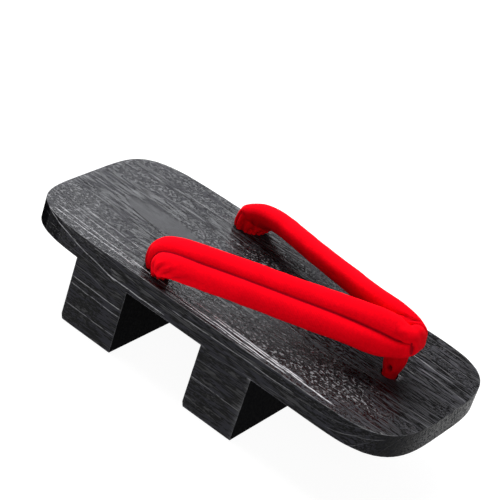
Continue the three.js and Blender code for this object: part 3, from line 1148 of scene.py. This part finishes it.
class GETA_OT_thong(bpy.types.Operator):
    """Build the folded thong that runs from the nose into the front hole"""

    bl_idname = "geta.thong"
    bl_label = "Front Thong"

    def execute(self, context):
        settings = context.scene.geta_straps
        hole = HOLES[0]
        bm, crease_shade_layer = cloth_grid(60, 72)
        last = len(THONG_ROWS) - 1
        for vert in bm.verts:
            place = (vert.co.x + 0.5) * last
            angle = 2 * math.pi * (vert.co.y + 0.5)
            z, along, across = read_columns(THONG_ROWS, ["z", "along", "across"], place)
            point = Vector((along / 2 * math.cos(angle), across / 2 * math.sin(angle), z))
            near_side = math.sin(angle) < 0
            pit_x, pit_z = point.x - THONG_PIT[0], z - THONG_PIT[1]
            fold = bell(pit_x / 1.1, pit_z / 1.7) if near_side else 0.0
            lip = bell(pit_x / 2.6, pit_z / 3.2) if near_side else 0.0
            pleat = 0.22 * math.cos(7 * angle + 0.5) * smooth_step(8, 1, z)
            outward = Vector((math.cos(angle), math.sin(angle), 0))
            point += outward * (pleat + 0.5 * lip)
            point.y += 4.0 * fold
            # The fold's pit takes painted shade in its colour.
            vert[crease_shade_layer] = clamp(1.3 * fold)
            vert.co = Vector((hole["x"] + point.x, hole["y"] + point.y, DECK_TOP + point.z)) * MM
        close_tube(bm)
        # The thong's darker dye is painted shade under the nose.
        cloth = cotton_material("Red thong cotton with painted shade", settings, 60, 90, 0.85)
        thong = mesh_object("front_thong_fold", bm, cloth)
        add_subdivision(thong, 1)
        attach(thong, "root")
        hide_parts("front_thong")
        return {"FINISHED"}


class GETA_OT_knots(bpy.types.Operator):
    """Build the three tied cord knots under the deck"""

    bl_idname = "geta.knots"
    bl_label = "Cord Knots"

    def execute(self, context):
        settings = context.scene.geta_straps
        cord = cotton_material("Red knot cord", settings, 30, 30, 0.6)
        for row in KNOTS:
            low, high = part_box(row["node"])
            centre, half = (low + high) / 2, (high - low) / 2
            bm = bmesh.new()
            bm.loops.layers.uv.new("cloth")
            bmesh.ops.create_uvsphere(bm, u_segments=64, v_segments=40, radius=1, calc_uvs=True)
            crease_shade_layer = bm.verts.layers.float.new("crease")
            for vert in bm.verts:
                turn = math.atan2(vert.co.y, vert.co.x)
                tilt = vert.co.z + 0.35 * math.sin(turn)
                wave = math.cos(math.pi * KNOT_TURNS * tilt)
                groove = clamp(-wave) ** 3
                strands = 0.012 * math.cos(26 * turn + 14 * tilt)
                size = 0.95 + 0.05 * wave * (1 - vert.co.z**4) + strands * (1 - vert.co.z**2)
                # The knot's grooves take painted shade in their colour.
                vert[crease_shade_layer] = 0.7 * groove
                vert.co = Vector([part * size * reach for part, reach in zip(vert.co, half)]) + centre
            knot = mesh_object(row["name"], bm, cord)
            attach(knot, "root")
            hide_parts(row["node"])
        return {"FINISHED"}


# ---- stage ----


def soft_light(row):
    light = bpy.data.lights.new(row["name"], "AREA")
    light.shape = "RECTANGLE"
    light.size, light.size_y = row["size"]
    light.energy = row["power"]
    light.color = row["color"]
    holder = bpy.data.objects.new(row["name"], light)
    bpy.context.scene.collection.objects.link(holder)
    place = Vector(row["place"])
    aim = Vector((row["aim_x"], 0, LIGHT_AIM_HEIGHT))
    holder.location = place
    holder.rotation_mode = "QUATERNION"
    holder.rotation_quaternion = (aim - place).to_track_quat("-Z", "Y")


def camera_turn(azimuth, elevation, roll):
    """The camera's own axes, from the angles that it looks from."""
    flat = math.cos(elevation)
    back = Vector((math.sin(azimuth) * flat, -math.cos(azimuth) * flat, math.sin(elevation)))
    level = (-back).cross(Vector((0, 0, 1))).normalized()
    down = (-back).cross(level)
    right = level * math.cos(roll) + down * math.sin(roll)
    up = back.cross(right)
    return Matrix((right, up, back)).transposed().to_4x4()


class GETA_OT_stage(bpy.types.Operator):
    """Set a pale floor, soft lights and the camera"""

    bl_idname = "geta.stage"
    bl_label = "Studio Stage"

    def execute(self, context):
        settings = context.scene.geta_stage
        scene = context.scene
        bm = bmesh.new()
        bmesh.ops.create_grid(bm, x_segments=1, y_segments=1, size=FLOOR_HALF_SIZE)
        bmesh.ops.translate(bm, vec=(0, 0, -FLOOR_DROP), verts=bm.verts[:])
        floor = mesh_object("studio_floor", bm)
        material, bench, shader = new_material("Pale floor")
        bench.fill(shader.inputs, {"Base Color": (*settings.floor_color, 1), **FLOOR_FACE})
        floor.data.materials.append(material)
        world = bpy.data.worlds.new("Studio air")
        world.use_nodes = True
        air = world.node_tree.nodes["Background"].inputs
        air["Color"].default_value = (1, 1, 1, 1)
        air["Strength"].default_value = AIR_GLOW
        scene.world = world
        for row in LIGHTS:
            soft_light(row)
        scene.view_settings.view_transform = "Standard"
        camera = bpy.data.cameras.new("studio_camera")
        camera.lens = settings.lens
        camera.sensor_width = 36
        camera.clip_start, camera.clip_end = 0.01, 20
        holder = bpy.data.objects.new("studio_camera", camera)
        scene.collection.objects.link(holder)
        turn = camera_turn(settings.camera_azimuth, settings.camera_elevation, settings.camera_roll)
        holder.matrix_world = Matrix.Translation(Vector(settings.camera_place)) @ turn
        scene.camera = holder
        return {"FINISHED"}


SETTINGS = {
    "geta_block": GETA_block_settings,
    "geta_straps": GETA_strap_settings,
    "geta_stage": GETA_stage_settings,
}
OPERATORS = (GETA_OT_block, GETA_OT_straps, GETA_OT_thong, GETA_OT_knots, GETA_OT_stage)


class GETA_PT_panel(bpy.types.Panel):
    """Buttons that build the geta piece by piece"""

    bl_label = "Geta"
    bl_idname = "GETA_PT_panel"
    bl_space_type = "VIEW_3D"
    bl_region_type = "UI"
    bl_category = "Geta"

    def draw(self, context):
        for operator in OPERATORS:
            self.layout.operator(operator.bl_idname)
        for name in SETTINGS:
            box = self.layout.box()
            settings = getattr(context.scene, name)
            for key in settings.__annotations__:
                box.prop(settings, key)


CLASSES = (*SETTINGS.values(), *OPERATORS, GETA_PT_panel)


def register():
    for item in CLASSES:
        bpy.utils.register_class(item)
    for name, group in SETTINGS.items():
        setattr(bpy.types.Scene, name, PointerProperty(type=group))


def unregister():
    for name in SETTINGS:
        delattr(bpy.types.Scene, name)
    for item in reversed(CLASSES):
        bpy.utils.unregister_class(item)


def main():
    register()
    bpy.ops.geta.stage()
    bpy.ops.geta.block()
    bpy.ops.geta.straps()
    bpy.ops.geta.thong()
    bpy.ops.geta.knots()


if __name__ == "__main__":
    main()
